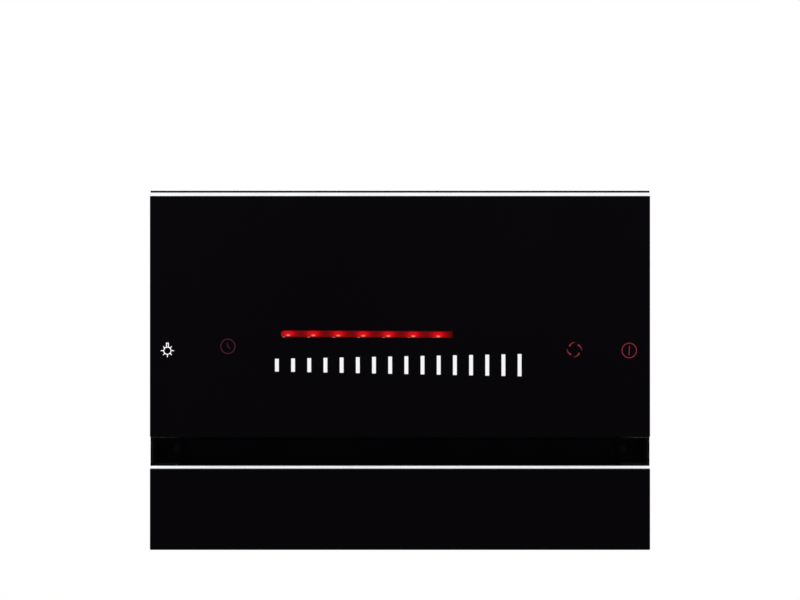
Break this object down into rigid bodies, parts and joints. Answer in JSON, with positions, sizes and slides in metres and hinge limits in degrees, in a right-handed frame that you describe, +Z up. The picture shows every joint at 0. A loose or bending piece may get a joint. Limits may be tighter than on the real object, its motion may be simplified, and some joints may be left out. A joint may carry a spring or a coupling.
{
  "type": "range hood",
  "caption": "Wall-mounted angled range hood with a hinged black glass front over a suction slot, touch controls, grease filter, blower and round top duct collar.",
  "frame": {"origin": "centre of the four wall fixing holes, on the back face that lies against the wall", "axes": "+Z up, +Y into the wall, -Y towards the room, +X to the right when facing the glass front"},
  "size_m": [0.5, 0.2987, 0.3747],
  "materials": {
    "black_sheet": "fine matt black powder coat on folded sheet steel",
    "black_glass": "toughened glass, opaque black enamel on the back, polished face",
    "bright_trim": "bright polished and anodised aluminium extrusion",
    "dark_trim": "matt black paint",
    "zinc_steel": "zinc-plated steel",
    "filter_metal": "bare rolled aluminium and expanded mesh",
    "black_plastic": "fine-textured black moulded plastic",
    "grey_plastic": "moulded glass-filled polypropylene",
    "pale_plastic": "moulded off-white plastic",
    "circuit_board": "green solder mask on glass-fibre board",
    "clear_plastic": "clear moulded acrylic",
    "diode": "clear epoxy over a red chip",
    "red_light": "red light through a clear window in the enamel",
    "white_print": "white back-lit print",
    "red_print": "red back-lit print",
    "dim_print": "red back-lit print at low light",
    "rubber": "moulded rubber or closed-cell foam",
    "motor_steel": "pressed and turned steel",
    "lamp_lens": "frosted glass"
  },
  "bodies": {
    "casing": {"left_side_panel": "black_sheet", "right_side_panel": "black_sheet", "top_cover": "black_sheet", "back_panel": "black_sheet", "bottom_panel": "black_sheet", "filter_bulkhead": "black_sheet", "casing_screws": "zinc_steel", "lower_glass": "black_glass", "lower_bright_strip": "bright_trim", "lower_glass_carrier": "black_sheet", "hinge_brackets": "zinc_steel", "hinge_pins": "zinc_steel", "hinge_bracket_screws": "zinc_steel", "catch_magnets": "black_plastic", "door_buffers": "rubber", "filter_frame": "filter_metal", "filter_mesh": "filter_metal", "filter_latch_housing": "black_plastic", "filter_latch_keeper": "zinc_steel", "scroll_left": "grey_plastic", "scroll_right": "grey_plastic", "inlet_rings": "grey_plastic", "slot_end_caps": "black_plastic", "motor_body": "motor_steel", "motor_bracket": "zinc_steel", "motor_mounts": "rubber", "motor_capacitor": "pale_plastic", "duct_collar": "black_plastic", "collar_clamp_ring": "black_sheet", "collar_gasket": "rubber", "collar_screws": "zinc_steel", "control_box": "pale_plastic", "control_box_lid": "pale_plastic", "power_board": "circuit_board", "cable_gland": "black_plastic", "lamp_bodies": "zinc_steel", "lamp_bezels": "bright_trim", "lamp_lenses": "lamp_lens"},
    "door": {"upper_glass": "black_glass", "door_pan": "black_sheet", "door_top_cap": "dark_trim", "door_bright_strip": "bright_trim", "door_hinge_leaves": "zinc_steel", "hinge_leaf_screws": "zinc_steel", "door_strikers": "zinc_steel", "touch_board": "circuit_board", "level_light_guide": "clear_plastic", "level_diodes": "diode", "level_light_bar": "red_light", "slider_marks": "white_print", "lamp_symbol": "white_print", "timer_symbol": "dim_print", "air_symbol": "red_print", "power_symbol": "red_print"},
    "fan": {"fan_wheel": "grey_plastic", "motor_shaft": "motor_steel", "motor_rotor": "motor_steel"},
    "latch": {"filter_latch": "black_plastic"},
    "left_flap": {"damper_flap_left": "black_plastic"},
    "right_flap": {"damper_flap_right": "black_plastic"}
  },
  "joints": [
    {"name": "door_hinge", "type": "hinge", "parent": "casing", "child": "door", "pos_m": [0, -0.2751, 0.16807], "axis": [-1, 0, 0], "range_deg": [0, 75]},
    {"name": "latch_slide", "type": "slide", "parent": "casing", "child": "latch", "axis": [0, 0.2588, -0.9659], "range_m": [0, 0.008], "stiffness_N_per_m": 250, "springref_m": -0.004},
    {"name": "fan_spin", "type": "hinge", "parent": "casing", "child": "fan", "pos_m": [0, -0.0892, 0.006], "axis": [1, 0, 0], "continuous": true},
    {"name": "left_flap_hinge", "type": "hinge", "parent": "casing", "child": "left_flap", "pos_m": [-0.005, -0.1422, 0.182], "axis": [0, 1, 0], "range_deg": [0, 75]},
    {"name": "right_flap_hinge", "type": "hinge", "parent": "casing", "child": "right_flap", "pos_m": [0.005, -0.1422, 0.182], "axis": [0, -1, 0], "range_deg": [0, 75]}
  ]
}
